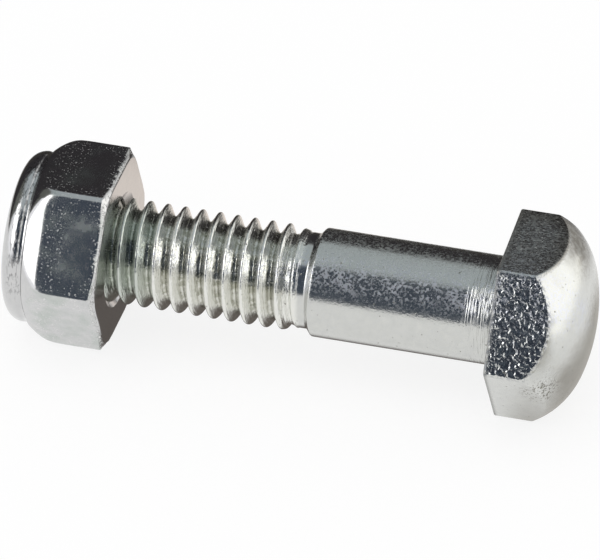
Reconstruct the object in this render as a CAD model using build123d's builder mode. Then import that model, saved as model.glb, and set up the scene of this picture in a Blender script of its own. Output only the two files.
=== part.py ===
from build123d import *
from math import ceil, cos, radians, sin, sqrt, tan
import os

# A pivot bolt and its lock nut. The bolt is one forged piece: a domed hexagon head, a plain
# shoulder that a lever turns on, a short neck and a rolled metric thread. The nut is a
# hexagon with a rolled collar at its far end, which holds a nylon ring. The ring grips the
# thread once the nut is driven on with a wrench. Here the nut has been run on by hand, until
# the end of the bolt meets the ring.
#
# Frame: X is the bolt's axis with the head at +X, and x = 0 is the face under the head. The
# head lies on one of its flats, and +Z is up. Lengths are in millimetres, angles in degrees.

# Head
head_width = 10.1  # across flats
head_height = 4.92  # from the face under the head to the top of the dome
crown_radius = 10.25  # of the middle of the dome
crown_angle = 17.7  # from the axis to where the crown's arc runs into the knuckle's
knuckle_radius = 4.6  # of the tighter arc round the dome
knuckle_end_angle = 75.0  # from the axis to that arc's end, outside the hexagon
head_edge_fillet = 0.22  # where the flats meet the dome and each other
head_seat_fillet = 0.12  # round the face under the head

# Shoulder and neck
shoulder_diameter = 6.1
shoulder_length = 10.62  # at full diameter
shoulder_chamfer = 0.3  # its length along the axis
shoulder_fillet = 0.15  # into the head
neck_undersize = 0.28  # of the neck's radius, under the thread's crests
neck_length = 0.5

# Thread: metric, right-handed
thread_diameter = 5.92
pitch = 1.0
flank_angle = 30.0
thread_length = 14.48  # from the neck to the end of the bolt
crest_run_out = 1.1  # over which the last crest fades into the neck
root_run_out = 1.2  # over which the last root rises to the neck
root_run_out_end = 0.1  # from there to the neck
end_chamfer = 0.75  # at 45 degrees
first_crest = 0.21  # from the end of the bolt to a crest on the +Z side

# Nut
nut_width = 10.05  # across flats
nut_turn = -4.2  # of its flats against the head's, about +X
nut_seat_diameter = 10.0  # of the round face inside the seat's chamfer
seat_chamfer_angle = 30.0
flat_length = 3.4  # of the straight flats, from the seat
flat_taper = 12.0  # of what follows them, towards the collar
corner_arc_radius = 2.9  # of the arc that rounds off the hexagon's corners
corner_arc_start = 2.25  # from the seat to the arc's highest point
corner_arc_diameter = 11.7  # there
groove_position = 4.5  # from the seat to the middle of the groove beside the collar
groove_diameter = 9.42
groove_width = 0.4
collar_land = 0.1  # the straight part of the collar, from the groove to the rolled edge
collar_diameter = 9.62
lip_radius = 0.9  # of the rolled edge, outside
lip_wall = 0.5
lip_mouth_diameter = 6.9  # of the opening inside the rolled edge
countersink_diameter = 6.6
tap_drill_undersize = 0.2  # of the first hole's radius, under the thread's
thread_clearance = 0.1  # of the nut's thread to the bolt's, on the radius

# Nylon ring
ring_position = 3.85  # from the nut's seat to the ring
ring_bore_diameter = 5.44
ring_edge_chamfer = 0.15  # on the two edges of the bore
ring_clearance = 0.03  # to the steel all round it
ring_gap = 0.1  # from the end of the bolt to the ring

# Places that follow from the sizes
trim = 0.5  # how far a cutter or a trimmed blank runs past what it cuts
neck_end = -(shoulder_length + shoulder_chamfer + neck_length)
bolt_end = neck_end - thread_length
crest_on_top = bolt_end + first_crest
ring_face = bolt_end - ring_gap
nut_seat = ring_face + ring_position
nut_height = groove_position + groove_width / 2 + collar_land + lip_radius
nut_end = nut_seat - nut_height

# Radii that follow from the sizes
triangle_height = pitch / (2 * tan(radians(flank_angle)))  # of the sharp thread's section
crest_radius = thread_diameter / 2
pitch_radius = crest_radius - triangle_height * 3 / 8
root_radius = crest_radius - triangle_height * 17 / 24
neck_radius = crest_radius - neck_undersize  # of the blank that the thread is rolled on
shoulder_radius = shoulder_diameter / 2
nut_pitch_radius = pitch_radius + thread_clearance
nut_major_radius = nut_pitch_radius + triangle_height * 3 / 8
nut_minor_radius = nut_pitch_radius - triangle_height / 4


def threaded_rod(low, high, minor_radius, middle_radius, major_radius):
    """Make a rod with a right-handed thread, running past low and high on the axis.

    Each turn is four strips: root, flank, crest and flank. A strip is the ruled surface between
    two helices, which are the paths of two corners of the thread's section. A ramp and a step
    close each end of the rod, as on a spiral stair. Every rod starts a whole number of pitches
    from crest_on_top, so the thread on the bolt and the one in the nut are in step.
    """

    def half_width(radius):
        """Give half the ridge's width along the axis at a radius."""
        return pitch / 4 - (radius - middle_radius) * tan(radians(flank_angle))

    crest_end = half_width(major_radius)
    root_start = half_width(minor_radius)
    corners = [
        (root_start - pitch, minor_radius),
        (-root_start, minor_radius),
        (-crest_end, major_radius),
        (crest_end, major_radius),
        (root_start, minor_radius),
    ]
    start = crest_on_top - pitch * ceil((crest_on_top - low) / pitch + 1)
    turns = ceil((high - start) / pitch) + 1
    centres = [start + turn * pitch for turn in range(turns + 1)]
    strips = []
    for centre in centres[:-1]:
        paths = [
            Helix(pitch, pitch, radius, center=(centre + x, 0, 0), direction=(1, 0, 0)).edge()
            for x, radius in corners
        ]
        strips += [Face.make_surface_from_curves(one, next_one) for one, next_one in zip(paths, paths[1:])]
        if centre == start:
            first_path = paths[0]
    ends = []
    for centre, path in ((centres[0], first_path), (centres[-1], paths[-1])):
        axis_start = (centre + root_start - pitch, 0, 0)
        axis_end = (centre + root_start, 0, 0)
        section = [(centre + x, 0, radius) for x, radius in corners]
        ramp = Face.make_surface_from_curves(Edge.make_line(axis_start, axis_end), path)
        step = Face(Wire.make_polygon([*section, axis_end, axis_start]))
        ends += [ramp, step]
    return Solid(Shell(strips + ends))


# Bolt: the head is a hexagonal bar inside a dome of two arcs.
knuckle_height = head_height - crown_radius + (crown_radius - knuckle_radius) * cos(radians(crown_angle))
knuckle_offset = (crown_radius - knuckle_radius) * sin(radians(crown_angle))
knuckle_middle = (knuckle_height, knuckle_offset)
knuckle_sweep = knuckle_end_angle - crown_angle

with BuildPart() as head:
    with BuildSketch(Plane.YZ):
        RegularPolygon(head_width / 2, 6, major_radius=False)
        fillet(vertices(), head_edge_fillet)
    extrude(amount=head_height)
    with BuildSketch(Plane.XY):
        with BuildLine():
            crown = CenterArc((head_height - crown_radius, 0), crown_radius, 0, crown_angle)
            knuckle = CenterArc(knuckle_middle, knuckle_radius, crown_angle, knuckle_sweep)
            Polyline(knuckle @ 1, (0, (knuckle @ 1).Y), (0, 0), crown @ 0)
        make_face()
    revolve(axis=Axis.X, mode=Mode.INTERSECT)
    knuckle_face = head.faces().filter_by(GeomType.REVOLUTION)[0]
    fillet(knuckle_face.edges().filter_by(GeomType.BSPLINE), head_edge_fillet)
    fillet(head.faces().sort_by(Axis.X)[0].edges(), head_seat_fillet)

# The shank starts as a threaded rod that runs into a plain blank. The cone on the blank's end
# is where the roots rise to the neck. The outline that trims both carries the chamfer on the
# bolt's end, the cone on which the last crest fades, the neck, and the shoulder.
crest_slope = (crest_radius - neck_radius) / crest_run_out
root_slope = (neck_radius - root_radius) / root_run_out
root_rise = neck_end - root_run_out_end - root_run_out
neck_middle = neck_end + neck_length / 2
blank_radius = shoulder_radius + trim

with BuildPart() as bolt:
    add(threaded_rod(bolt_end, neck_end, root_radius, pitch_radius, crest_radius))
    with BuildSketch(Plane.XY):
        Polygon(
            (root_rise - trim, 0),
            (root_rise - trim, root_radius - trim * root_slope),
            (neck_middle, root_radius + (neck_middle - root_rise) * root_slope),
            (neck_middle, blank_radius),
            (trim, blank_radius),
            (trim, 0),
            align=None,
        )
    revolve(axis=Axis.X)
    with BuildSketch(Plane.XY):
        with BuildLine():
            Polyline(
                (-shoulder_fillet, shoulder_radius),
                (-shoulder_length, shoulder_radius),
                (-shoulder_length - shoulder_chamfer, neck_radius),
                (neck_end, neck_radius),
                (neck_end - crest_run_out - trim / crest_slope, crest_radius + trim),
                (bolt_end + end_chamfer + trim, crest_radius + trim),
                (bolt_end, crest_radius - end_chamfer),
                (bolt_end, 0),
                (trim, 0),
                (trim, shoulder_radius + shoulder_fillet),
                (0, shoulder_radius + shoulder_fillet),
            )
            RadiusArc((0, shoulder_radius + shoulder_fillet), (-shoulder_fillet, shoulder_radius), shoulder_fillet)
        make_face()
    revolve(axis=Axis.X, mode=Mode.INTERSECT)
    add(head.part)

# Nut: a hexagonal bar, its flats tapered towards the collar, inside a turned outline whose
# chamfer and long arc take its corners off. The collar follows, and its edge is rolled in.
seat_radius = nut_seat_diameter / 2
outline_radius = corner_arc_diameter / 2
seat_chamfer_end = nut_seat - (outline_radius - seat_radius) * tan(radians(seat_chamfer_angle))
flat_end = nut_seat - flat_length
groove_at = nut_seat - groove_position
groove_bottom = groove_diameter / 2
corner_arc_at = nut_seat - corner_arc_start
corner_arc_rise = groove_bottom - outline_radius + corner_arc_radius
corner_arc_end = corner_arc_at - sqrt(corner_arc_radius**2 - corner_arc_rise**2)
collar_radius = collar_diameter / 2
lip_centre = nut_end + lip_radius
lip_top = collar_radius - lip_radius
pocket_radius = collar_radius - lip_wall
pocket_floor = ring_face + ring_clearance
mouth_radius = lip_mouth_diameter / 2
countersink_radius = countersink_diameter / 2
tap_drill_radius = nut_minor_radius - tap_drill_undersize

with BuildPart() as lock_nut:
    with BuildSketch(Plane.YZ.offset(nut_seat)) as hexagon:
        RegularPolygon(nut_width / 2, 6, major_radius=False, rotation=nut_turn)
    extrude(amount=-flat_length)
    with BuildSketch(Plane.YZ.offset(flat_end)):
        RegularPolygon(nut_width / 2, 6, major_radius=False, rotation=nut_turn)
    extrude(amount=groove_at - flat_end, taper=flat_taper)
    with BuildSketch(Plane.XY):
        with BuildLine():
            corner_arc = RadiusArc(
                (corner_arc_at, outline_radius), (corner_arc_end, groove_bottom), -corner_arc_radius
            )
            Polyline(
                corner_arc @ 1,
                (groove_at, groove_bottom),
                (groove_at, 0),
                (nut_seat, 0),
                (nut_seat, seat_radius),
                (seat_chamfer_end, outline_radius),
                corner_arc @ 0,
            )
        make_face()
    revolve(axis=Axis.X, mode=Mode.INTERSECT)
    with BuildSketch(Plane.XY):
        with BuildLine():
            Polyline(
                (lip_centre, collar_radius),
                (groove_at - groove_width / 2, collar_radius),
                (groove_at, groove_bottom),
                (groove_at + trim, groove_bottom),
                (groove_at + trim, 0),
                (nut_end, 0),
                (nut_end, lip_top),
            )
            RadiusArc((nut_end, lip_top), (lip_centre, collar_radius), lip_radius)
        make_face()
    revolve(axis=Axis.X)
    with BuildSketch(Plane.XY):
        Polygon(
            (lip_centre, pocket_radius),
            (pocket_floor, pocket_radius),
            (pocket_floor, tap_drill_radius),
            (nut_seat - countersink_radius + tap_drill_radius, tap_drill_radius),
            (nut_seat, countersink_radius),
            (nut_seat + trim, countersink_radius),
            (nut_seat + trim, 0),
            (nut_end - trim, 0),
            (nut_end - trim, mouth_radius),
            (nut_end + lip_wall, mouth_radius),
            (nut_end + lip_wall, lip_top),
            align=None,
        )
    revolve(axis=Axis.X, mode=Mode.SUBTRACT)
    tap = threaded_rod(pocket_floor, nut_seat, nut_minor_radius, nut_pitch_radius, nut_major_radius)
    add(tap, mode=Mode.SUBTRACT)

# Nylon ring: it fills the collar's pocket behind the rolled edge.
ring_radius = pocket_radius - ring_clearance
ring_bore_radius = ring_bore_diameter / 2
ring_corner = lip_radius - lip_wall - ring_clearance

with BuildPart() as nylon_insert:
    with BuildSketch(Plane.XY):
        Polygon(
            (lip_centre, ring_radius),
            (ring_face, ring_radius),
            (ring_face, ring_bore_radius),
            (lip_centre - ring_corner, ring_bore_radius),
            (lip_centre - ring_corner, lip_top),
            align=None,
        )
        chamfer(vertices().group_by(Axis.Y)[0], ring_edge_chamfer)
    revolve(axis=Axis.X)

os.makedirs("parts", exist_ok=True)
for name, piece in (("bolt", bolt), ("lock_nut", lock_nut), ("nylon_insert", nylon_insert)):
    piece.part.label = name
    export_step(piece.part, f"parts/{name}.step")
    print(f"{name}: {piece.part.volume:.1f} mm3, {len(piece.part.faces())} faces")
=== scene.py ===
# %% [markdown]
# # A pivot bolt and its lock nut
# This small fastener is what a lever turns on. It has a domed hexagon head, a plain shoulder,
# a rolled thread and a lock nut with a nylon ring.
# The measured model is loaded first and stays as it is. It gives every size and place. Each
# piece here is then worked out with numpy in millimetres and replaces the plain solid it
# stands for, so that the looks and the measured model always agree.

import bmesh
import bpy
import numpy as np
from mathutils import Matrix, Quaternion, Vector


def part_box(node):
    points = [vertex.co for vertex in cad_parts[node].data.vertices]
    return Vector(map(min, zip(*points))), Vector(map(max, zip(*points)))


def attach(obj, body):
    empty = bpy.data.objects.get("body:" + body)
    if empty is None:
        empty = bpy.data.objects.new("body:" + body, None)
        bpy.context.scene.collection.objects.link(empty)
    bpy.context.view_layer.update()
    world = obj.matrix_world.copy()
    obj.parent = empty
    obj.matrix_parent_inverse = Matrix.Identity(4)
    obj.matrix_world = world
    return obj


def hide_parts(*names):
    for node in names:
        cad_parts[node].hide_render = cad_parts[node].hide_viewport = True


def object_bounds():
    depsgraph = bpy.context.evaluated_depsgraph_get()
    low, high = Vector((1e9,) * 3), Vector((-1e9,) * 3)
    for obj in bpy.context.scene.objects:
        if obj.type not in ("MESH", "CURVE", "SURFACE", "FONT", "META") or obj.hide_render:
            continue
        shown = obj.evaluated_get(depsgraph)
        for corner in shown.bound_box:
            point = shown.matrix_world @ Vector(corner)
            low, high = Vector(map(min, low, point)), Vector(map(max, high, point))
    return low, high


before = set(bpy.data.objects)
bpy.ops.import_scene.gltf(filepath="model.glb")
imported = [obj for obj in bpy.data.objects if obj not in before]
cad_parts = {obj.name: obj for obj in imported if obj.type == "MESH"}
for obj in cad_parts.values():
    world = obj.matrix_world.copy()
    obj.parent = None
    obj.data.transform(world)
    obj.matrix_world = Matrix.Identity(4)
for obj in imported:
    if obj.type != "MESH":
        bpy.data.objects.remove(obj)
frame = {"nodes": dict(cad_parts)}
cad_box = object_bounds()

MM = 0.001
bolt_low, bolt_high = (np.array(corner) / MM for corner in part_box("bolt"))
nut_low, nut_high = (np.array(corner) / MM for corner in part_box("lock_nut"))
ring_low, ring_high = (np.array(corner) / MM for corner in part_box("nylon_insert"))
low_corner, high_corner = (np.array(corner) / MM for corner in cad_box)
print("solids:", ", ".join(frame["nodes"]))
print("whole object, mm:", np.round(low_corner, 2), "to", np.round(high_corner, 2))

# %% [markdown]
# ## Camera
# A small object is best looked at from some way off through a long lens, so that its far end
# isn't drawn much smaller than its near end. The camera looks down at the bolt from the front,
# a little from the head's side. The lens follows from how much of the bolt's length the view
# takes in, so one number sets how large the bolt appears.

# %% Camera
azimuth, elevation, roll = np.radians([14.35, 37.6, 0.28])
camera_distance = 500.0
view_width = 33.22  # of what is seen at the bolt, in mm
aim = np.array([-11.805, 0.0, -0.094])

towards_camera = np.array(
    [
        np.sin(azimuth) * np.cos(elevation),
        -np.cos(azimuth) * np.cos(elevation),
        np.sin(elevation),
    ]
)
camera_data = bpy.data.cameras.new("camera")
camera_data.lens = camera_data.sensor_width * camera_distance / view_width
camera = bpy.data.objects.new("camera", camera_data)
bpy.context.scene.collection.objects.link(camera)
camera.location = Vector((aim + towards_camera * camera_distance) * MM)
level = Vector(towards_camera).to_track_quat("Z", "Y")
camera.rotation_euler = (level @ Quaternion((0, 0, 1), roll)).to_euler()
bpy.context.scene.camera = camera
print("lens, mm:", round(camera_data.lens, 1))

# %% [markdown]
# ## One grid for every turned piece
# The head, the shoulder, the thread and the nut are all made round one axis. So each is
# a grid: columns stand at angles round the axis, and rows follow the piece's outline along it.
# A place on the grid is given by x, the distance along the axis, and by the radius. Both may
# differ from column to column, which is what turns a round bar into a hexagon or a thread.
# The last column lies on the first, and the rows at a pole lie in one point. Merging
# them closes the surface.


# %% From a grid to a mesh
def surface_of(name, x, radius, angle):
    """Make a closed mesh from a grid of places round the X axis.

    A point at an angle a, measured from +Z towards -Y, lies at (x, -radius sin a, radius cos a).
    Faces join neighbours on the grid. They point outwards, because the rows run towards -X on
    the outside of a piece and back on its inside.
    """
    rows, columns = x.shape
    a = np.broadcast_to(angle, x.shape)
    points = np.stack([x, -radius * np.sin(a), radius * np.cos(a)], axis=-1).reshape(-1, 3)
    index = np.arange(rows * columns).reshape(rows, columns)
    quads = np.stack([index[:-1, :-1], index[1:, :-1], index[1:, 1:], index[:-1, 1:]], axis=-1)
    mesh = bpy.data.meshes.new(name)
    mesh.from_pydata(points * MM, [], quads.reshape(-1, 4))
    close_up(mesh)
    piece = bpy.data.objects.new(name, mesh)
    bpy.context.scene.collection.objects.link(piece)
    print(name, "has", len(mesh.polygons), "faces")
    return piece


def close_up(mesh, nearest=0.001):
    """Merge points nearer than a micrometre, drop faces without area and shade smoothly."""
    shell = bmesh.new()
    shell.from_mesh(mesh)
    bmesh.ops.remove_doubles(shell, verts=shell.verts, dist=nearest * MM)
    bmesh.ops.dissolve_degenerate(shell, edges=shell.edges, dist=nearest * MM / 4)
    shell.to_mesh(mesh)
    shell.free()
    mesh.shade_smooth()


# %% [markdown]
# ## Outlines
# A real edge is never quite sharp, and its rounding is what catches the light. So two lines
# of an outline are joined by a short arc. The arc is written as a weighted curve with three
# points, because that also works when every column has its own corner.


# %% Rows of an outline
def line_rows(start, end, shares):
    """Give rows on a straight line: start + share x (end - start)."""
    (x0, r0), (x1, r1) = start, end
    return [(x0 + s * (x1 - x0), r0 + s * (r1 - r0)) for s in shares]


def arc_rows(start, corner, end, steps=4):
    """Give rows on the arc from start to end, heading for the corner first and away from it last.

    With t from 0 to 1, the weights of the three points are (1-t)^2, 2 t (1-t) w and t^2, where
    w is the cosine of half the turn. The place is their weighted mean.
    """
    (x0, r0), (xc, rc), (x1, r1) = start, corner, end
    ax, ar, bx, br = xc - x0, rc - r0, x1 - xc, r1 - rc
    cosine = (ax * bx + ar * br) / (np.hypot(ax, ar) * np.hypot(bx, br) + 1e-12)
    weight = np.sqrt((1 + np.clip(cosine, -1, 1)) / 2)
    rows = []
    for t in np.linspace(0, 1, steps + 1):
        p, q, r = (1 - t) ** 2, 2 * t * (1 - t) * weight, t**2
        total = p + q + r
        rows.append(((p * x0 + q * xc + r * x1) / total, (p * r0 + q * rc + r * r1) / total))
    return rows


def grid(rows, angle):
    """Stack rows of (x, radius) into two arrays, one value for each column."""
    full = [[np.broadcast_to(value, angle.shape) for value in row] for row in rows]
    stacked = np.array(full, float)
    return stacked[:, 0], stacked[:, 1]


def soft_min(a, b, reach):
    """Give the lesser of a and b, rounded where they differ by less than reach."""
    share = np.clip(0.5 + 0.5 * (b - a) / reach, 0, 1)
    return b + (a - b) * share - reach * share * (1 - share)


def soft_max(a, b, reach):
    """Give the greater of a and b in the same way."""
    return -soft_min(-a, -b, reach)


# %% [markdown]
# ## Hexagons
# Both the head and the nut are hexagons with slightly rounded corners. Seen from the axis,
# a flat at distance d has the radius d / cos a, where a is the angle from the middle of the
# flat. The last degree or so at each corner is an arc. Columns are set close together there
# and far apart on the flats.


# %% Hexagon
def corner_start(half_width, corner_radius):
    """Give the angle from the middle of a flat at which the corner's arc begins.

    Its tangent is that of 30 degrees, times (half_width - corner_radius) / half_width.
    """
    return np.arctan((half_width - corner_radius) * np.tan(np.pi / 6) / half_width)


def hexagon_radius(a, half_width, corner_radius):
    """Give the radius of a hexagon with rounded corners at the angle a from the middle of a flat.

    On the flat it is half_width / cos a. On the corner's arc it is where a ray meets a circle
    of corner_radius round a centre at the distance c on the corner's ray, at an angle b from it:
    c cos b + sqrt(corner_radius^2 - (c sin b)^2).
    """
    centre = (half_width - corner_radius) / np.cos(np.pi / 6)
    from_corner = np.pi / 6 - np.abs(a)
    inside = np.maximum(corner_radius**2 - (centre * np.sin(from_corner)) ** 2, 0)
    flat = half_width / np.cos(a)
    arc = centre * np.cos(from_corner) + np.sqrt(inside)
    return np.where(np.abs(a) <= corner_start(half_width, corner_radius), flat, arc)


def hexagon_columns(turn, half_width, corner_radius, on_flat=19, gap=0.004):
    """Give the angles of the columns, and each one's angle from the middle of its flat.

    A column stands a small gap before each arc, which keeps the shading of the flat flat.
    """
    arc_start = corner_start(half_width, corner_radius)
    flat = np.linspace(gap - arc_start, arc_start - gap, on_flat)
    arc = np.linspace(arc_start, np.pi / 6, 5)
    one_side = np.concatenate([-arc[::-1], flat, arc[:-1]])
    middles = turn + np.arange(6) * np.pi / 3
    angle = (middles[:, None] + one_side).ravel()
    from_middle = np.tile(one_side, 6)
    return np.append(angle, angle[0] + 2 * np.pi), np.append(from_middle, from_middle[0])


# %% [markdown]
# ## Screw thread
# A thread is a ridge that climbs one pitch for each turn. A grid with straight rows would cut
# across the ridge and leave steps in it. Here each row climbs with the thread instead, so that
# one row is always the crest and another is always the root. After one turn a row arrives
# where an earlier one began, and merging joins them. Rows that would run past the end
# of the thread are held there.


# %% Thread
pitch = 1.0
triangle_height = pitch / (2 * np.tan(np.radians(30)))
crest_rounding, root_rounding = 0.09, 0.14
# Rows from a crest, 0, to the root, 0.5. They are closest where the thread bends.
half_turn_rows = [0, 0.035, 0.055, 0.075, 0.1, 0.17, 0.25, 0.33, 0.38, 0.405, 0.43, 0.46]
row_phases = np.array(half_turn_rows + [0.5] + [1 - p for p in half_turn_rows[:0:-1]])


def thread_rows(x_from, x_to, angle, crest_at):
    """Give x for rows that climb with the thread, held between x_from and x_to.

    A row with the phase p is at x = crest_at + pitch (p + whole turns + angle / full turn).
    """
    turns = np.arange(-2, int(abs(x_to - x_from) / pitch) + 3)
    low = min(x_from, x_to)
    first = np.floor((low - crest_at) / pitch)
    phase = (first + turns[:, None] + row_phases).ravel()
    x = crest_at + pitch * (phase[:, None] + angle / (2 * np.pi))
    x = np.clip(x, low, max(x_from, x_to))
    return x if x_to > x_from else x[::-1]


def thread_radius(x, angle, crest_at, root, middle, crest):
    """Give the radius of the thread's surface.

    u is the distance along the axis from the nearest crest, in pitches. The sharp section is
    middle + (1/4 - |u|) pitch / tan 30, and it is cut off at crest and root with rounded edges.
    """
    turn = (x - crest_at) / pitch - angle / (2 * np.pi)
    u = np.abs((turn + 0.5) % 1 - 0.5)
    sharp = middle + (0.25 - u) * pitch / np.tan(np.radians(30))
    return soft_max(soft_min(sharp, crest, crest_rounding), root, root_rounding)


print("thread: pitch", pitch, "mm,", row_phases.size, "rows in each turn")


# %% [markdown]
# ## The bolt
# The real bolt is cold-forged in one piece and then the thread is rolled on. It could be put
# together here from a prism, a cylinder and a helix, but their joints would show as hard lines.
# So it is one closed surface too: out from the middle of the dome, over the rounded edge, down
# the flats, in under the head, along the shoulder, and then along the thread to the end. The
# dome is two arcs: a wide one in the middle and a tighter one towards the flats.

# %% Sizes of the bolt
head_height = bolt_high[0]
head_half_width = bolt_high[2]
bolt_end = bolt_low[0]
crown_radius, crown_angle, knuckle_radius = 10.25, np.radians(17.7), 4.6
head_edge, head_seat_edge, head_corner = 0.24, 0.12, 0.22
shoulder_radius, shoulder_length, shoulder_chamfer, shoulder_fillet = 3.05, 10.62, 0.3, 0.15
crest_radius = 2.96
pitch_radius = crest_radius - triangle_height * 3 / 8
root_radius = crest_radius - triangle_height * 17 / 24
neck_depth, neck_length, first_crest = 0.28, 0.5, 0.21
neck_radius = crest_radius - neck_depth
shoulder_end = -(shoulder_length + shoulder_chamfer)
neck_end = -(shoulder_length + shoulder_chamfer + neck_length)
crest_at = bolt_end + first_crest
crest_run_out, root_run_out, end_chamfer = 1.1, 1.2, 0.75
print("bolt from", round(bolt_end, 2), "to", round(head_height, 2), "mm")


# %% Dome
def dome_height(r):
    """Give x on the dome at the distance r from the axis.

    It is on a circle round a point of the axis up to crown_angle, and then on a tighter circle
    that leaves the first one in the same direction: x = centre + sqrt(radius^2 - distance^2).
    """
    crown_centre = head_height - crown_radius
    join = crown_radius * np.sin(crown_angle)
    knuckle_r = (crown_radius - knuckle_radius) * np.sin(crown_angle)
    knuckle_x = crown_centre + (crown_radius - knuckle_radius) * np.cos(crown_angle)
    crown = crown_centre + np.sqrt(np.maximum(crown_radius**2 - r**2, 0))
    knuckle = knuckle_x + np.sqrt(np.maximum(knuckle_radius**2 - (r - knuckle_r) ** 2, 0))
    return np.where(r < join, crown, knuckle)


def dome_slope(r):
    """Give the dome's fall, as the angle from a plane across the axis."""
    step = 0.001
    return np.arctan((dome_height(r - step) - dome_height(r + step)) / (2 * step))


print("dome's height at the middle of a flat, mm:", round(float(dome_height(head_half_width)), 2))


# %% Columns of the bolt
bolt_angle, from_flat = hexagon_columns(0.0, head_half_width, head_corner)
flat_radius = hexagon_radius(from_flat, head_half_width, head_corner)
print("columns round the bolt:", bolt_angle.size)

# %% Rows of the head
slope = dome_slope(flat_radius - head_edge / 2)
reach = head_edge * np.tan((np.pi / 2 - slope) / 2)
edge_in = flat_radius - reach * np.cos(slope)
edge_start = (dome_height(edge_in), edge_in)
edge_corner = (dome_height(edge_in) - reach * np.sin(slope), flat_radius)
edge_end = (edge_corner[0] - reach, flat_radius)
under_edge = (0.0, flat_radius - head_seat_edge)

rows = [(dome_height(s * edge_in), s * edge_in) for s in np.linspace(0, 1, 26)]
rows += arc_rows(edge_start, edge_corner, edge_end, 6)[1:]
rows += line_rows(edge_end, (head_seat_edge, flat_radius), [0.02, 0.35, 0.65, 0.98, 1])
rows += arc_rows(rows[-1], (0.0, flat_radius), under_edge, 4)[1:]
print("rows down the head:", len(rows))

# %% Rows of the shoulder and the neck
bend_along, bend_across, neck_bend = 0.05, 0.06, 0.08  # how far the chamfer's roundings reach
fillet_start = (0.0, shoulder_radius + shoulder_fillet)
fillet_end = (-shoulder_fillet, shoulder_radius)
chamfer_start = (-shoulder_length, shoulder_radius)
chamfer_end = (-shoulder_length - shoulder_chamfer, neck_radius)
upper_bend = (chamfer_start[0] - bend_along, chamfer_start[1] - bend_across)
lower_bend = (chamfer_end[0] + bend_along, chamfer_end[1] + bend_across)

rows += line_rows(under_edge, fillet_start, [0.02, 0.5, 0.98, 1])
rows += arc_rows(fillet_start, (0.0, shoulder_radius), fillet_end, 4)[1:]
plain_end = (chamfer_start[0] + bend_across, shoulder_radius)
rows += line_rows(fillet_end, plain_end, [0.01, 0.25, 0.5, 0.75, 0.99, 1])
rows += arc_rows(rows[-1], chamfer_start, upper_bend, 3)[1:]
rows += line_rows(rows[-1], lower_bend, [0.1, 0.9, 1])
rows += arc_rows(rows[-1], chamfer_end, (chamfer_end[0] - neck_bend, neck_radius), 3)[1:]
rows += line_rows(rows[-1], (neck_end, neck_radius), [0.2, 0.6, 1])
head_x, head_r = grid(rows, bolt_angle)
print("rows down to the thread:", len(rows))

# %% Rows of the thread
# At the neck the root rises and the crest sinks, until both are level with the neck. At the
# other end a chamfer takes the crests down.
crest_stand = 0.012  # by which the last crest still stands above the neck
root_blend, crest_blend = 0.06, 0.05
thread_x = thread_rows(neck_end, bolt_end, bolt_angle, crest_at)
thread_r = thread_radius(thread_x, bolt_angle, crest_at, root_radius, pitch_radius, crest_radius)
into_thread = neck_end - thread_x
rising_root = root_radius + (neck_radius - root_radius) * (1 - into_thread / root_run_out)
thread_r = soft_max(thread_r, rising_root, root_blend)
fading_crest = neck_radius + (crest_radius - neck_radius) * into_thread / crest_run_out
thread_r = soft_min(thread_r, fading_crest + crest_stand, crest_blend)
thread_r = np.minimum(thread_r, crest_radius - end_chamfer + (thread_x - bolt_end))
thread_r = np.where(thread_x >= neck_end - 1e-9, neck_radius, thread_r)
print("thread radius, mm:", round(thread_r.min(), 2), "to", round(thread_r.max(), 2))

# %% The bolt in one piece
end_radius = crest_radius - end_chamfer
end_x, end_r = grid([(bolt_end, end_radius * s) for s in (0.97, 0.6, 0.25, 0)], bolt_angle)
bolt = surface_of(
    "bolt_body",
    np.concatenate([head_x, thread_x, end_x]),
    np.concatenate([head_r, thread_r, end_r]),
    bolt_angle,
)
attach(bolt, "bolt")
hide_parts("bolt")

# %% [markdown]
# ## The nut
# The nut is a hexagon whose corners are turned off towards the far end. There the steel ends
# in a round collar, which was rolled inwards over the nylon ring. Like the bolt it is one
# closed surface: across the seat, along the flats, into the groove, over the rolled collar,
# into the ring's pocket, and back to the seat through the thread. It could be cut from a
# prism with Booleans, but those leave sharp, uneven edges where the light matters most.

# %% Sizes of the nut
nut_seat, nut_end = nut_high[0], nut_low[0]
nut_turn = np.radians(-4.2)
nut_half_width, nut_corner = 5.025, 0.55
seat_radius, seat_chamfer, seat_edge, chamfer_fade = 5.2, np.radians(30), 0.28, 0.3
flat_length, flat_taper, flat_bend = 3.4, np.radians(12), 0.12
corner_arc, corner_arc_start, corner_arc_top, arc_blend = 2.9, 2.25, 5.85, 0.16
groove_middle, groove_width, groove_radius = 4.5, 0.4, 4.71
collar_radius, lip_radius, mouth_radius = 4.81, 0.9, 3.45
lip_wall, lip_edge = 0.5, 0.2
pocket_start, pocket_radius = 3.85, collar_radius - lip_wall
countersink_radius, countersink_slope = 3.3, 1.2
thread_clearance = 0.1
lip_middle = nut_seat - nut_end - lip_radius
print("nut from", round(nut_end, 2), "to", round(nut_seat, 2), "mm")


# %% Outside of the nut
def nut_outside(s, a):
    """Give the radius at the distance s from the seat.

    It is the least of the hexagon, whose flats lean in past flat_length, and of the arc that
    turns off its corners, with rounded change-overs. The lean grows as half of
    t + sqrt(t^2 + flat_bend^2), with t the distance past flat_length.
    """
    past_flat = s - flat_length
    lean = 0.5 * (past_flat + np.sqrt(past_flat**2 + flat_bend**2)) * np.tan(flat_taper)
    flats = hexagon_radius(a, nut_half_width, nut_corner) * (1 - lean / nut_half_width)
    past_arc = np.clip(s - corner_arc_start, 0, corner_arc)
    arc = corner_arc_top - corner_arc + np.sqrt(corner_arc**2 - past_arc**2)
    return soft_min(flats, arc, arc_blend)


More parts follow.
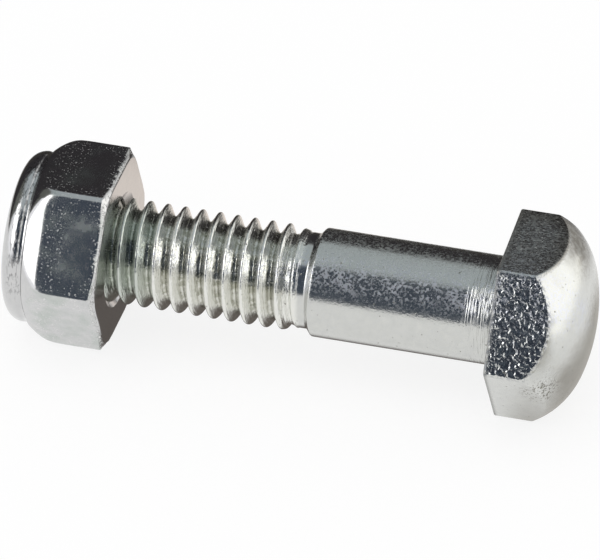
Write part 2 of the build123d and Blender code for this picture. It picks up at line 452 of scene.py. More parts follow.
nut_angle, from_nut_flat = hexagon_columns(nut_turn, nut_half_width, nut_corner)
nut_flat_radius = hexagon_radius(from_nut_flat, nut_half_width, nut_corner)
print("columns round the nut:", nut_angle.size)

# %% Rows from the seat to the groove
# Only the corners reach past seat_radius, so only they have the chamfer. The flats meet the
# seat in a small round edge, and in between the one fades into the other.
seat_in = np.minimum(seat_radius, nut_flat_radius - seat_edge)
side_start = np.maximum((nut_flat_radius - seat_radius) * np.tan(seat_chamfer), seat_edge)
chamfered = np.clip((nut_flat_radius - seat_radius) / chamfer_fade, 0, 1)
groove_start, groove_end = groove_middle - groove_width / 2, groove_middle + groove_width / 2

rows = line_rows((nut_seat, countersink_radius), (nut_seat, seat_in), [0.01, 0.5, 0.97, 1])
side_top = (nut_seat - side_start, nut_outside(side_start, from_nut_flat))
edge_bend = (
    nut_seat - chamfered * side_start / 2,
    nut_flat_radius - chamfered * (nut_flat_radius - seat_in) / 2,
)
rows += arc_rows(rows[-1], edge_bend, side_top, 4)[1:]
for share in np.concatenate([[0.012, 0.25, 0.5], np.linspace(0.56, 0.995, 26), [1]]):
    s = side_start + (groove_start - side_start) * share
    rows.append((nut_seat - s, nut_outside(s, from_nut_flat)))
print("rows down to the groove:", len(rows))

# %% Rows of the groove and the collar
# A point of the groove's wall is given by how far it lies inside the groove, and by the share
# of the wall's height that is left there. The collar is a quarter circle.
rim = nut_outside(groove_start, from_nut_flat)
groove_points = [(0.02, 0.75), (0.06, 0.3), (0.12, 0.05), (0.2, 0.0)]
for along, up in groove_points:
    wall = groove_radius + up * (rim - groove_radius)
    rows.append((nut_seat - groove_start - along, wall))
for along, up in groove_points[::-1]:
    wall = groove_radius + up * (collar_radius - groove_radius)
    rows.append((nut_seat - groove_end + along, wall))
for t in np.linspace(0, np.pi / 2, 15):
    place = lip_middle + lip_radius * np.sin(t)
    rows.append((nut_seat - place, collar_radius - lip_radius + lip_radius * np.cos(t)))
rows += line_rows(rows[-1], (nut_end, mouth_radius + lip_edge), [0.1, 1])
rows += arc_rows(rows[-1], (nut_end, mouth_radius), (nut_end + lip_edge, mouth_radius), 4)[1:]
print("rows round the collar:", len(rows))

# %% Rows of the pocket
lip_inside = nut_end + lip_wall
inner_arc = lip_radius - lip_wall
pocket_floor = nut_seat - pocket_start
nut_pitch_radius = pitch_radius + thread_clearance
nut_crest = nut_pitch_radius + triangle_height * 3 / 8
nut_root = nut_pitch_radius - triangle_height / 4
floor_step = 0.15  # of the pocket's floor, round the thread
arc_out = (lip_inside + inner_arc, pocket_radius)

rows += line_rows(rows[-1], (lip_inside, mouth_radius), [0.1, 0.9, 1])
rows += line_rows(rows[-1], (lip_inside, pocket_radius - inner_arc), [0.1, 0.9, 1])
rows += arc_rows(rows[-1], (lip_inside, pocket_radius), arc_out, 4)[1:]
rows += line_rows(rows[-1], (pocket_floor, pocket_radius), [0.1, 0.9, 1])
rows += line_rows(rows[-1], (pocket_floor, nut_crest + floor_step), [0.05, 0.9, 1])
outer_x, outer_r = grid(rows, nut_angle)
print("rows to the nut's thread:", len(rows))

# %% The nut in one piece
bore_x = thread_rows(pocket_floor, nut_seat, nut_angle, crest_at)
bore_r = thread_radius(bore_x, nut_angle, crest_at, nut_root, nut_pitch_radius, nut_crest)
bore_r = np.maximum(bore_r, countersink_radius + (bore_x - nut_seat) * countersink_slope)
rim_x, rim_r = grid([(nut_seat, countersink_radius)], nut_angle)
nut = surface_of(
    "lock_nut_body",
    np.concatenate([outer_x, bore_x, rim_x, outer_x[:1]]),
    np.concatenate([outer_r, bore_r, rim_r, outer_r[:1]]),
    nut_angle,
)
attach(nut, "nut")
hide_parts("lock_nut")

# %% [markdown]
# ## The nylon ring
# The ring is turned from nylon rod. It sits in the pocket behind the nut's thread, where the
# collar is rolled over it, so its outer corner follows the collar. The bolt's thread presses
# its own way through it, which is what holds the nut. A plain torus or a spun profile would do
# for so hidden a piece, but the same rows as before give it true edges with no extra tools: it
# is a closed outline carried once round the axis.

# %% Outline of the ring
ring_bore, ring_outside = 2.72, ring_high[2]
ring_corner, front_corner, bore_edge = 0.37, 0.1, 0.15
near, far = ring_high[0], ring_low[0]
near_bore, far_bore = (near, ring_bore + bore_edge), (far, ring_bore + bore_edge)
spread = [0.05, 0.95, 1]

rows = line_rows(near_bore, (near, ring_outside - front_corner), [0] + spread)
rows += arc_rows(rows[-1], (near, ring_outside), (near - front_corner, ring_outside), 3)[1:]
rows += line_rows(rows[-1], (far + ring_corner, ring_outside), spread)
rows += arc_rows(rows[-1], (far, ring_outside), (far, ring_outside - ring_corner), 6)[1:]
rows += line_rows(rows[-1], far_bore, [0.05, 0.5, 0.95, 1])
rows += arc_rows(rows[-1], (far, ring_bore), (far + bore_edge, ring_bore), 4)[1:]
rows += line_rows(rows[-1], (near - bore_edge, ring_bore), spread)
rows += arc_rows(rows[-1], (near, ring_bore), near_bore, 4)[1:]
print("ring from", round(far, 2), "to", round(near, 2), "mm")

# %% The ring in one piece
ring_angle = np.linspace(0, 2 * np.pi, 97)
ring = surface_of("nylon_ring", *grid(rows, ring_angle), ring_angle)
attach(ring, "insert")
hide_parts("nylon_insert")

# %% [markdown]
# ## Materials as expressions
# A material is a graph of nodes, and long graphs are hard to read in code. Here a small class
# wraps a node's output, so that sums and products of values are written as in arithmetic and
# add their Math nodes by themselves. A second class holds the graph, and its one method `node`
# adds every other kind of node.


# %% Values in a graph
class Value:
    """The output of a node, as a number or a colour that varies over the surface."""

    def __init__(self, graph, socket):
        self.graph, self.socket = graph, socket

    def math(self, operation, *others):
        inputs = dict(enumerate((self, *others)))
        return self.graph.node("ShaderNodeMath", {"operation": operation}, inputs)

    def __add__(self, other):
        return self.math("ADD", other)

    def __sub__(self, other):
        return self.math("SUBTRACT", other)

    def __rsub__(self, other):
        return self.graph.node("ShaderNodeMath", {"operation": "SUBTRACT"}, {0: other, 1: self})

    def __mul__(self, other):
        return self.math("MULTIPLY", other)

    def __pow__(self, other):
        return self.math("POWER", other)

    __radd__, __rmul__ = __add__, __mul__

    def least(self, other):
        return self.math("MINIMUM", other)

    def most(self, other):
        return self.math("MAXIMUM", other)

    def size(self):
        return self.math("ABSOLUTE")

    def angle_to(self, other):
        """Give the angle whose sine and cosine go as this value and the other."""
        return self.math("ARCTAN2", other)

    def rise(self, start, end):
        """Go smoothly from 0 at start to 1 at end, which may be below start."""
        if start > end:
            return 1 - self.rise(end, start)
        return self.graph.node(
            "ShaderNodeMapRange",
            {"interpolation_type": "SMOOTHSTEP"},
            {"Value": self, "From Min": start, "From Max": end},
        )


# %% Graphs
class Graph:
    """A tree of shader nodes, emptied and built up again."""

    def __init__(self, tree):
        self.tree = tree
        tree.nodes.clear()

    def node(self, kind, settings=(), sockets=(), out=0):
        """Add a node of this kind, set it up, fill its sockets and give the output asked for."""
        node = self.tree.nodes.new(kind)
        for key, value in dict(settings).items():
            setattr(node, key, value)
        for key, value in dict(sockets).items():
            if isinstance(value, Value):
                self.tree.links.new(value.socket, node.inputs[key])
            else:
                node.inputs[key].default_value = value
        return Value(self, node.outputs[out]) if node.outputs else None

    def mix(self, share, first, second):
        """Mix two colours by a share from 0 to 1."""
        first, second = (c if isinstance(c, Value) else (*c, 1) for c in (first, second))
        sockets = {"Factor": share, 6: first, 7: second}
        return self.node("ShaderNodeMix", {"data_type": "RGBA"}, sockets, out=2)

    def layered(self, colour, layers):
        """Lay tints over a colour, one after another, each with its share from 0 to 1."""
        for share, tint in layers:
            colour = self.mix(share, colour, tint)
        return colour

    def glow(self, colour, strength=1.0):
        """Give a surface that sends out light evenly."""
        sockets = {"Color": (*colour, 1), "Strength": strength}
        return self.node("ShaderNodeEmission", {}, sockets)


# %% Finishes
class Finish(Graph):
    """A material under construction. Its place is in millimetres, as the piece was made."""

    def __init__(self, name):
        self.material = bpy.data.materials.new(name)
        self.material.use_nodes = True
        super().__init__(self.material.node_tree)
        metres = self.node("ShaderNodeTexCoord", out="Object")
        self.place = self.node("ShaderNodeMapping", {}, {"Vector": metres, "Scale": (1 / MM,) * 3})

    def noise(self, size, detail=2.0, roughness=0.5, distortion=0.0, place=None):
        """Give noise from 0 to 1 whose patches are about size millimetres across."""
        sockets = {
            "Vector": place or self.place,
            "Scale": 1 / size,
            "Detail": detail,
            "Roughness": roughness,
            "Distortion": distortion,
        }
        return self.node("ShaderNodeTexNoise", {}, sockets)

    def moved(self, turn=0.0, scale=(1, 1, 1)):
        """Give the place turned about the X axis, or stretched, which draws a pattern out."""
        sockets = {"Vector": self.place, "Rotation": (turn, 0, 0), "Scale": scale}
        return self.node("ShaderNodeMapping", {"vector_type": "POINT"}, sockets)

    def parts(self, place):
        """Give x, y and z, in millimetres, as three values."""
        split = self.node("ShaderNodeSeparateXYZ", {}, {0: place}).socket.node
        return [Value(self, output) for output in split.outputs]

    def joined(self, x, y, z):
        return self.node("ShaderNodeCombineXYZ", {}, {0: x, 1: y, 2: z})

    def bump(self, height):
        """Give a normal tilted by a height in millimetres."""
        return self.node("ShaderNodeBump", {}, {"Height": height, "Distance": MM, "Strength": 1.0})

    def end_in(self, shader):
        """Lead this shader to the material's output."""
        self.node("ShaderNodeOutputMaterial", {}, {"Surface": shader})

    def apply(self, piece, **sockets):
        """Set up the Principled shader, whose sockets are named as here, and dress the piece."""
        named = {
            key.replace("_", " ").title().replace("Ior", "IOR"): value
            for key, value in sockets.items()
        }
        self.end_in(self.node("ShaderNodeBsdfPrincipled", {}, named))
        piece.data.materials.clear()
        piece.data.materials.append(self.material)
        print(self.material.name, "has", len(self.tree.nodes), "nodes")


# %% [markdown]
# ## Where a place lies on the piece
# The bolt is one mesh, but its zones look different. Painting masks by hand would tie them to
# this mesh. Instead each zone is told by numbers that every point knows: the distance along
# the axis, the distance from it, the angle round it, and the distance measured straight out
# from the nearest flat. Small specks come from the peaks of a fine noise.


# %% Helpers for zones and specks
def out_from_flat(finish, turn=0.0):
    """Give the distance from the axis, measured straight out from the nearest of six flats.

    It is the greatest of |z|, |z/2 + y cos 30| and |z/2 - y cos 30|.
    """
    x, y, z = finish.parts(finish.moved(turn=turn))
    half, side = z * 0.5, y * np.cos(np.pi / 6)
    return z.size().most((half + side).size()).most((half - side).size())


def around(x, y, z):
    """Give the distance from the axis, and the angle round it from +Z towards -Y."""
    return (y * y + z * z) ** 0.5, (y * -1).angle_to(z)


def away_from(centre, x, y, z):
    """Give the distance from a point in millimetres, as the root of the sum of squares."""
    return ((x - centre[0]) ** 2 + (y - centre[1]) ** 2 + (z - centre[2]) ** 2) ** 0.5


def specks(finish, size, share, far_off=0.0):
    """Give small round specks of about this size that cover about this share of the surface.

    They are the peaks of a fine noise, which is above 0.76 - 0.9 x share on about that share of
    the surface. A place far off in the noise gives another set of them.
    """
    place = finish.node(
        "ShaderNodeVectorMath", {"operation": "ADD"}, {0: finish.place, 1: (far_off,) * 3}
    )
    level = 0.76 - 0.9 * share
    return finish.noise(size, 1.0, 0.4, 0.0, place).rise(level, level + 0.05)


# %% [markdown]
# ## Zinc on the bolt
# A bright zinc plate is a thin skin of metal, so the shader is a metal of middling grey. Metal
# has almost no look of its own: what one sees is how evenly it mirrors the room. The flats of
# the head were sheared and then tumbled, which leaves thousands of tiny facets that each
# mirror another spot. The dome was pressed smooth. The shoulder is frosted in patches, and has
# fine turning rings beside the head. The thread was rolled, so its grain runs along it.
# One could give each zone a material of its own, but then their borders would be as sharp as
# the mesh. In one material a mask fades each zone into the next.

# %% Zones of the bolt
zinc = Finish("zinc plate on the bolt")
x, y, z = zinc.parts(zinc.place)
radius, turn = around(x, y, z)
head_side = head_half_width - 0.05
on_head = x.rise(0.0, 0.06)
on_flat = out_from_flat(zinc).rise(head_side - 0.14, head_side) * on_head
on_upper_flat = z.rise(head_side - 0.2, head_side) * on_flat
on_side_flat = on_flat * (1 - on_upper_flat)
on_dome = on_head * (1 - on_flat)
on_shoulder = x.rise(shoulder_end - 0.08, shoulder_end + 0.02) * x.rise(0.02, -0.02)
on_thread = x.rise(neck_end + 0.22, neck_end - 0.08)
near_head = x.rise(-2.5, -1.2) * on_shoulder
near_shoulder = on_thread * x.rise(neck_end - 1.78, neck_end - 0.98)
facing_up = z.rise(-0.3, 0.3)
under_side = z.rise(-0.5, -3.5)
print("zones of the bolt:", len(zinc.tree.nodes), "nodes")

# %% [markdown]
# ## Relief of the bolt
# Relief is a height in millimetres, the sum of one pattern for each zone. A flat that faces
# down needs hardly any, because there it would only mirror the floor. Stretching the place
# before it goes into the noise draws the pattern out: round the axis for the turning rings,
# and along the helix for the rolled thread.

# %% Patterns of the bolt's relief
facets = zinc.noise(0.26, 1.0, 0.5, 0.2) - 0.5
grit = zinc.noise(0.11, 1.0, 0.5, 0.3) - 0.5
fine = zinc.noise(0.13, 1.5, 0.5, 0.5) - 0.5
soft = zinc.noise(1.1, 3.0, 0.55, 0.4) - 0.5
rings = zinc.noise(0.12, 2.0, 0.6, 0.0, zinc.moved(scale=(1, 0.05, 0.05))) - 0.5
helix = zinc.joined(x - turn * (pitch / (2 * np.pi)), radius * 0.6, turn * 0.35)
rolled = zinc.noise(0.11, 2.0, 0.6, 0.1, helix) - 0.5
pits = specks(zinc, 0.2, 0.03)
scuff_middle = (3.0, -4.9, -1.3)
scuff = away_from(scuff_middle, x, y, z).rise(1.5, 0.4)
scuff_pits = specks(zinc, 0.15, 0.22, 30.0) * scuff
at_border = (x.rise(0.9, 0.3) + z.rise(3.9, 4.6) * 0.6) * on_side_flat * facing_up
print("patterns of the bolt:", len(zinc.tree.nodes), "nodes")

# %% Patterns put together
relief = facets * on_side_flat * (facing_up * 0.078 + 0.005) + grit * at_border * 0.03
relief = relief + (facets * 0.013 + grit * 0.014) * on_upper_flat
relief = relief + (soft * 0.012 + fine * 0.0015) * on_dome
relief = relief + fine * on_shoulder * 0.008 + rings * near_head * 0.085
relief = relief + rings * near_shoulder * 0.05
relief = relief + rolled * on_thread * 0.035 + fine * on_thread * 0.012
relief = relief - (pits * (1 - on_upper_flat) + scuff_pits) * 0.01
print("relief of the bolt:", len(zinc.tree.nodes), "nodes")

# %% [markdown]
# ## Colour of the bolt
# Colour comes in layers, each a tint and a mask that says how much of it there is. Frost is a
# patchy, bluish dullness of the plating. Films of old oil brown the upper flat and stain the
# dome. The dome's upper back is painted dark, a painted reflection of the dark room behind it.
# The head's seat edge is darker and rougher, and the thread's roots are darker. Beside the nut
# the thread gets painted shade of the nut, with a greenish tint of the plating. The pits are
# dark. The dust on top is no metal, so the same mask also lowers Metallic.

# %% Marks on the bolt
grain = zinc.noise(0.5, 3.0, 0.6, 0.5)
patchy = zinc.noise(1.3) - 0.5
mottled = zinc.noise(0.3, 2.0).rise(0.4, 0.62)
stains = zinc.noise(1.6, 4.0, 0.65, 0.6).rise(0.48, 0.7)
upper_side = turn.rise(1.3, 0.85)
frost = (zinc.noise(0.15, 2.5, 0.65, 0.3) + patchy * 0.25).rise(0.42, 0.68)
frost = frost * (upper_side * 0.9 + 0.1)
bluish = frost * turn.rise(0.1, 0.6)
# Painted dark reflection: the dome's upper back is darkened, mottled, for the dark room it
# mirrors.
painted_dark_reflection = z.rise(2.4, 4.0) * y.rise(-1.6, 1.2) * (mottled * 0.5 + 0.5) * on_dome
# Darker and rougher along the head's seat edge.
dull_seat_edge = x.rise(0.3, 0.05) * on_head
by_dome, by_back, by_seat = x.rise(1.9, 3.3), y.rise(1.2, 2.7), x.rise(0.6, 0.1)
browned = on_upper_flat * (by_dome + by_back + by_seat * 0.5).least(1)
before_end = x.rise(bolt_end, bolt_end + 0.3)
# The thread's roots. The colour layers make them darker, and dust lies there.
in_root = radius.rise(2.56, 2.38) * on_thread * before_end
# Beside the nut the thread gets painted shade of the nut, with a greenish tint of the plating.
beside_nut = x.rise(nut_seat + 2.75, nut_seat + 1.75) * before_end
hollows = specks(zinc, 0.22, 0.3, 90.0) * on_side_flat * facing_up
dust = specks(zinc, 0.1, 0.08, 60.0) * (on_upper_flat * 0.35 + in_root * 0.8)
print("marks on the bolt:", len(zinc.tree.nodes), "nodes")

# %% Layers of colour
plate = zinc.mix(grain, (0.545, 0.55, 0.535), (0.65, 0.655, 0.625))
rolled_plate = zinc.mix(grain, (0.73, 0.73, 0.69), (0.83, 0.83, 0.785))
colour = zinc.layered(
    plate,
    [
        (on_thread, rolled_plate),
        (bluish * 0.6, (0.58, 0.60, 0.70)),
        (stains * on_dome * (under_side * 0.3 + 0.2), (0.40, 0.385, 0.33)),
        # painted dark reflection on the dome's upper back
        (painted_dark_reflection * 0.8, (0.22, 0.20, 0.17)),
        # darker along the head's seat edge
        (dull_seat_edge * 0.7, (0.26, 0.26, 0.25)),
        (on_upper_flat * mottled * 0.3, (0.34, 0.36, 0.38)),
        (browned * 0.7, (0.24, 0.22, 0.19)),
        # darker in the thread's roots
        (in_root * (mottled * 0.5 + 0.3), (0.30, 0.30, 0.23)),
        # painted shade of the nut on the thread, with the plating's greenish tint
        (beside_nut * 0.5, (0.34, 0.40, 0.35)),
        ((pits + scuff_pits).least(1) * 0.8, (0.16, 0.15, 0.12)),
        (hollows * 0.6, (0.19, 0.2, 0.23)),
        (dust, (0.7, 0.7, 0.66)),
    ],
)
print("colour of the bolt:", len(zinc.tree.nodes), "nodes")

# %% Gloss of the bolt
frosted = on_shoulder * (1 - near_head * 0.6) * 0.32 + near_shoulder * 0.15
frosted = frosted + on_side_flat * 0.16 + on_upper_flat * 0.2
roughness = 0.13 + grain * 0.09 + on_upper_flat * 0.04 + dull_seat_edge * 0.3 + frost * frosted
zinc.apply(
    bolt,
    base_color=colour,
    metallic=1 - dust,
    roughness=roughness,
    normal=zinc.bump(relief),
)

# %% [markdown]
# ## Zinc on the nut
# The nut is brighter and smoother than the bolt. It was tumbled in a drum with many others, so
# its edges are nicked. The fine white specks on the flats, more of them towards the edges, are
# painted glints for the sparkle of tiny facets, and white patches in the nicks along the seat's
# edge are a painted highlight. They are no metal in the shader, and as flecks of colour they
# stay white in every light, which relief alone wouldn't. A hazy patch is only rougher than what
# is round it, and shows more of the bright room.

# %% Zones of the nut
zinc_nut = Finish("zinc plate on the nut")
x, y, z = zinc_nut.parts(zinc_nut.place)
radius, turn = around(x, y, z)
from_seat = nut_seat - x
out = out_from_flat(zinc_nut, -nut_turn)
nut_side = nut_half_width - 0.075
on_nut_flat = out.rise(nut_side - 0.1, nut_side)
by_corner, by_collar = radius.rise(5.25, 5.5), from_seat.rise(1.7, 2.5)
by_seat = from_seat.rise(0.9, 0.35)
at_edges = (by_corner + by_seat + by_collar).least(1) * on_nut_flat
seat_rim = from_seat.rise(0.34, 0.12) * from_seat.rise(0.02, 0.08) * out.rise(4.6, 4.8)
on_collar = from_seat.rise(groove_start - 0.1, groove_middle)
print("zones of the nut:", len(zinc_nut.tree.nodes), "nodes")

# %% Marks on the nut
soft = zinc_nut.noise(1.3, 2.0, 0.5, 0.5) - 0.5
grain = zinc_nut.noise(0.5, 3.0, 0.6, 0.5)
haze = zinc_nut.noise(1.4, 2.0, 0.55, 0.3).rise(0.36, 0.72)
# Painted highlight: white patches in the nicks along the seat's edge, which also give the nicks'
# relief.
nicks_and_glints = zinc_nut.noise(0.28, 2.0, 0.6, 0.6).rise(0.53, 0.6) * seat_rim
# Painted glints: white specks for the sparkle of the flats' tiny facets, more of them by the
# edges.
painted_glint_specks = specks(zinc_nut, 0.11, 0.12) * at_edges + specks(zinc_nut, 0.1, 0.02, 40.0)
painted_glint_specks = (painted_glint_specks * on_nut_flat * (1 - z.rise(4.4, 4.9) * 0.35)).least(1)
rub_middle = (nut_seat - 0.4, -4.5, 2.55)
from_rub = away_from(rub_middle, x, y, z)
crescent = from_rub.rise(1.2, 1.9) * from_rub.rise(2.6, 1.9) * z.rise(0.8, 3.0)
rubbed = crescent * (haze + 0.3)
on_lip = on_collar * from_seat.rise(5.4, 5.0) * z.rise(-1.5, 0.5)
streaks = zinc_nut.noise(0.16, 3.0, 0.65, 0.8, zinc_nut.moved(scale=(1, 0.35, 0.35)))
streaks = streaks.rise(0.5, 0.6) * on_lip
# Both painted glints as one mask, white and no metal.
painted_glints = (painted_glint_specks * 0.55 + nicks_and_glints * 0.9).least(1)
print("marks on the nut:", len(zinc_nut.tree.nodes), "nodes")

# %% Finish of the nut
colour = zinc_nut.layered(
    zinc_nut.mix(grain, (0.54, 0.545, 0.55), (0.65, 0.645, 0.64)),
    [
        (haze * on_nut_flat * 0.5, (0.40, 0.46, 0.41)),
        (streaks * 0.6, (0.17, 0.17, 0.17)),
        # painted glints: white specks and white nicks
        (painted_glints, (0.82, 0.82, 0.80)),
    ],
)
zinc_nut.apply(
    nut,
    base_color=colour,
    metallic=1 - painted_glints,
    roughness=0.12 + grain * 0.07 + haze * on_nut_flat * 0.1 + rubbed * 0.06,
    normal=zinc_nut.bump(soft * 0.02 + nicks_and_glints * 0.03 + streaks * 0.004),
)

# %% [markdown]
# ## Nylon
# Nylon is a milky plastic. It isn't a metal, so it shows its own colour, a warm white with faint
# clouds. The lathe leaves fine rings on it, so its noise is drawn out round the axis.

# %% Finish of the ring
nylon = Finish("turned nylon")
turned = nylon.noise(0.06, 2.0, 0.5, 0.0, nylon.moved(scale=(1, 0.1, 0.1))) - 0.5
cloudy = nylon.noise(1.2, 2.0)
nylon.apply(
    ring,
    base_color=nylon.mix(cloudy, (0.80, 0.79, 0.73), (0.86, 0.855, 0.81)),
    roughness=0.38 + cloudy * 0.12,
    normal=nylon.bump(turned * 0.004),
)

# %% [markdown]
# ## World and floor
# Bright metal shows its surroundings more than its own colour, so the room matters as much as
# the finish. A strong lamp would make a white room too, but it would bleach the bolt. So the
# world is white only to the camera and in reflections, and dimmer as a light, and the floor
# glows a little below white and still takes the bolt's shadow.

# %% World
world = bpy.data.worlds.new("studio")
bpy.context.scene.world = world
world.use_nodes = True
sky = Graph(world.node_tree)
kinds = ("Is Camera Ray", "Is Glossy Ray", "Is Transmission Ray")
to_eye, to_gloss, to_glass = (sky.node("ShaderNodeLightPath", out=kind) for kind in kinds)
seen = (to_eye + to_gloss + to_glass).least(1)
white, dim = (
    sky.node("ShaderNodeBackground", {}, {"Color": (1, 1, 1, 1), "Strength": strength})
    for strength in (1.0, 0.7)
)
both = sky.node("ShaderNodeMixShader", {}, {0: seen, 1: dim, 2: white})
sky.node("ShaderNodeOutputWorld", {}, {"Surface": both})
print("world:", len(sky.tree.nodes), "nodes")


# %% Floor
def staged(name, mesh):
    """Put a mesh into the studio, as something that isn't part of the object."""
    thing = bpy.data.objects.new(name, mesh)
    bpy.context.scene.collection.objects.link(thing)
    return thing


def sheet(name, corner, far_corner, height, material):
    """Lay a flat sheet between two corners, given as x and y, at a height in millimetres."""
    (x0, y0), (x1, y1) = corner, far_corner
    corners = np.array([(x0, y0, height), (x1, y0, height), (x1, y1, height), (x0, y1, height)])
    mesh = bpy.data.meshes.new(name)
    mesh.from_pydata(corners * MM, [], [(0, 1, 2, 3)])
    mesh.materials.append(material)
    print(name, "is", x1 - x0, "x", y1 - y0, "mm")
    return staged(name, mesh)


floor_z, floor_half = low_corner[2], 2000.0
floor_finish = Finish("pale floor")
paper = floor_finish.node("ShaderNodeBsdfDiffuse", {}, {"Color": (0.2, 0.2, 0.2, 1)})
white_glow = floor_finish.glow((1, 1, 1), 0.82)
floor_finish.end_in(floor_finish.node("ShaderNodeAddShader", {}, {0: paper, 1: white_glow}))
sheet("floor", (-floor_half,) * 2, (floor_half,) * 2, floor_z, floor_finish.material)

# %% [markdown]
# ## Light tent
# In a studio, bright metal is set among large soft panels and dark flags, placed so that each
# face mirrors one of them. One could place a lamp or a card for each. Here they are patches on
# one half sphere round the bolt instead, because a formula then gives every panel its soft
# edge. Only reflections see the tent, so it neither hides the floor nor adds to the shadows.


# %% Light of the tent
def rise(value, start, end):
    """Go smoothly from 0 at start to 1 at end: 3t^2 - 2t^3, with t the share of the way there."""
    t = np.clip((value - start) / (end - start), 0, 1)
    return t * t * (3 - 2 * t)


def within(value, low, high, soft):
    """Give 1 between low and high and 0 outside, over soft on each side."""
    return rise(value, low - soft, low + soft) * (1 - rise(value, high - soft, high + soft))


def tent_light(over, across):
    """Give the tent's light as red, green and blue, for two angles in degrees.

    over rises from the front horizon over the top to the back, and across turns towards the
    head. Each soft-edged patch covers a share of what was there before it: new = old + share x
    (patch - old).
    """
    beside_head = rise(across, 34, 56) * rise(over, 30, 66)
    overhead = within(over, 71, 132, 3) * (1 - rise(across, 24, 46))
    above_nut = within(over, 80, 136, 4) * (1 - rise(across, -42, -26))
    at_back = rise(over, 129, 135) * (1 - rise(across, 10, 38))
    dark_front = within(over, -20, 71, 3) * within(across, -27, 37, 3)
    weak_softbox = within(over, -8, 80, 4) * within(across, -78, -29, 2.5)
    strong_softbox = within(over, 24, 80, 12) * within(across, -50, -29, 2.5)
    patches = [
        (beside_head, (1.58, 1.57, 1.53)),
        (overhead, (0.49, 0.54, 0.56)),
        (above_nut, (0.15, 0.155, 0.14)),
        (at_back, (0.038, 0.035, 0.038)),
        (dark_front, (0.06, 0.076, 0.102)),
        (weak_softbox, (1.2, 1.2, 1.23)),
        (strong_softbox, (3.6, 3.58, 3.54)),
    ]
    light = np.ones(over.shape + (3,))
    for share, colour in patches:
        light += share[..., None] * (np.array(colour) - light)
    return light


# %% Mesh of the tent
tent_radius = 600.0
over, across = np.meshgrid(np.linspace(-2, 182, 139), np.linspace(-90, 90, 137), indexing="ij")
e, a = np.radians(over), np.radians(across)
direction = np.stack([np.sin(a), -np.cos(a) * np.cos(e), np.cos(a) * np.sin(e)], axis=-1)
index = np.arange(over.size).reshape(over.shape)
quads = np.stack([index[:-1, :-1], index[:-1, 1:], index[1:, 1:], index[1:, :-1]], axis=-1)
tent_points = (aim + direction.reshape(-1, 3) * tent_radius) * MM
tent_mesh = bpy.data.meshes.new("light tent")
tent_mesh.from_pydata(tent_points, [], quads.reshape(-1, 4))
light = np.ones((over.size, 4))
light[:, :3] = tent_light(over, across).reshape(-1, 3)
attribute = tent_mesh.color_attributes.new("light", "FLOAT_COLOR", "POINT")
attribute.data.foreach_set("color", light.ravel())
print("tent:", len(tent_mesh.polygons), "faces")


# %% The tent
def only_in_reflections(thing):
    thing.visible_camera = thing.visible_diffuse = thing.visible_shadow = False
    thing.visible_transmission = thing.visible_volume_scatter = False


tent = staged("light tent", tent_mesh)
only_in_reflections(tent)
tent_finish = Finish("light tent")
tent_colour = tent_finish.node("ShaderNodeAttribute", {"attribute_name": "light"}, out="Color")
tent_finish.apply(
    tent,
    base_color=(0, 0, 0, 1),
    specular_ior_level=0.0,
    roughness=1.0,
    emission_color=tent_colour,
    emission_strength=1.0,
)

# %% [markdown]
# ## Cloths on the floor
# The faces that look down mirror the floor close to the bolt, where the tent doesn't reach. So
# papers and cloths lie there, a fraction of a millimetre above the floor and above each other.
# The shade under the bolt and the shade beside the head are painted shade: dark sheets for the
# bolt's shadow on the floor. Each sheet glows with one even light, and a mask of x and y lets it
# fade out towards its edges, which keeps hard lines out of the reflections.


# %% One cloth
def cloth(name, corner, far_corner, height, colour, share):
    """Lay a glowing sheet this high above the floor, which only reflections show.

    share works out from x and y, in millimetres, how much of it there is at each place.
    """
    finish = Finish(name)
    x, y, z = finish.parts(finish.place)
    clear = finish.node("ShaderNodeBsdfTransparent")
    sockets = {0: share(x, y), 1: clear, 2: finish.glow(colour)}
    finish.end_in(finish.node("ShaderNodeMixShader", {}, sockets))
    laid = sheet(name, corner, far_corner, floor_z + height, finish.material)
    only_in_reflections(laid)


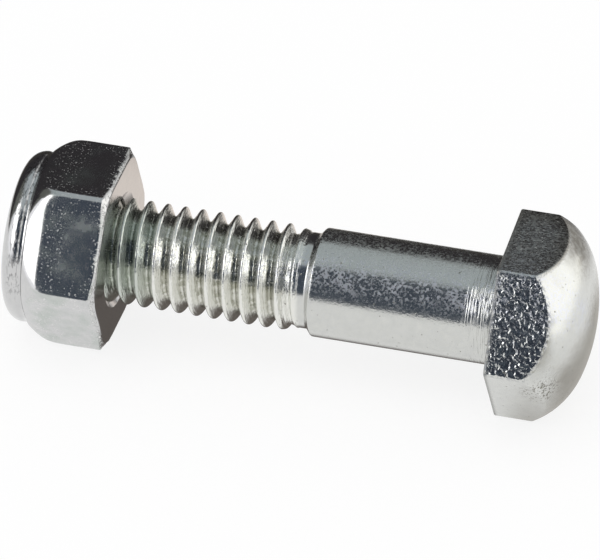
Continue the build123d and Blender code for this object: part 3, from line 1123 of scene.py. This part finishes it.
# %% Cloths at the head's side
cloth(
    "pale board at the right", (4, -60), (590, 590), 0.1, (1.52, 1.51, 1.46),
    lambda x, y: x.rise(4, 60) * (y + x * 0.3).rise(-3, 12),
)
cloth(
    "grey paper behind the head", (-10, 6), (300, 400), 0.2, (0.55, 0.54, 0.52),
    lambda x, y: y.rise(8, 35) * (x - y * 0.72).rise(6, -6),
)
cloth(
    "shade beside the head", (0, -6), (14, 15), 0.02, (0.5, 0.48, 0.45),
    lambda x, y: x.rise(0, 2) * x.rise(13, 7) * y.rise(-6, -1) * y.rise(15, 8),
)
cloth(
    "cloth at the right", (6, -60), (140, 0), 0.5, (0.6, 0.59, 0.55),
    lambda x, y: x.rise(6, 16) * x.rise(140, 70) * (y + x * 0.17).rise(-1, -10),
)


# %% Cloths behind and below
def under_the_bolt(x, y):
    """Give the shade's share. It reaches further to the front beside the nut's seat."""
    beside_seat = x.rise(nut_seat - 0.3, nut_seat)
    to_the_front = beside_seat * (x.rise(nut_seat + 2, nut_seat + 1) * 2.4 + 0.5)
    return (y + to_the_front).rise(-1.5, 0.5) * y.rise(9, 4) * x.rise(-29, -24) * x.rise(3, -1)


cloth("shade under the bolt", (-40, -6), (12, 12), 0.01, (0.13, 0.115, 0.105), under_the_bolt)
cloth(
    "warm paper behind the nut", (-30, 3), (-8, 20), 0.3, (0.86, 0.78, 0.72),
    lambda x, y: y.rise(4, 8) * y.rise(20, 15) * x.rise(-30, -24) * x.rise(-8, -13),
)
cloth(
    "cloth behind", (-590, 8), (590, 590), 0.4, (0.05, 0.046, 0.042),
    lambda x, y: y.rise(12, 24) * (x - y * 0.1).rise(12, -8),
)

# %% [markdown]
# ## Lamp
# One large soft lamp above the bolt lights the floor and the nylon and draws the shadow. The
# metal doesn't mirror it, because the tent already gives the metal all that it shows.

# %% Top light
lamp_place = Vector((-0.3, -0.3, 1.2))
lamp_data = bpy.data.lights.new("top light", "AREA")
lamp_data.size, lamp_data.energy = 1.2, 4.0
lamp = bpy.data.objects.new("top light", lamp_data)
bpy.context.scene.collection.objects.link(lamp)
lamp.location = lamp_place
lamp.rotation_euler = lamp_place.to_track_quat("Z", "Y").to_euler()
lamp.visible_glossy = False
print("lamp:", round(lamp_place.length, 2), "m away,", lamp_data.energy, "W")

# %% [markdown]
# ## Finish
# The view shows the colours as they are written, with no film look.

# %% Colour view
bpy.context.scene.view_settings.view_transform = "Standard"
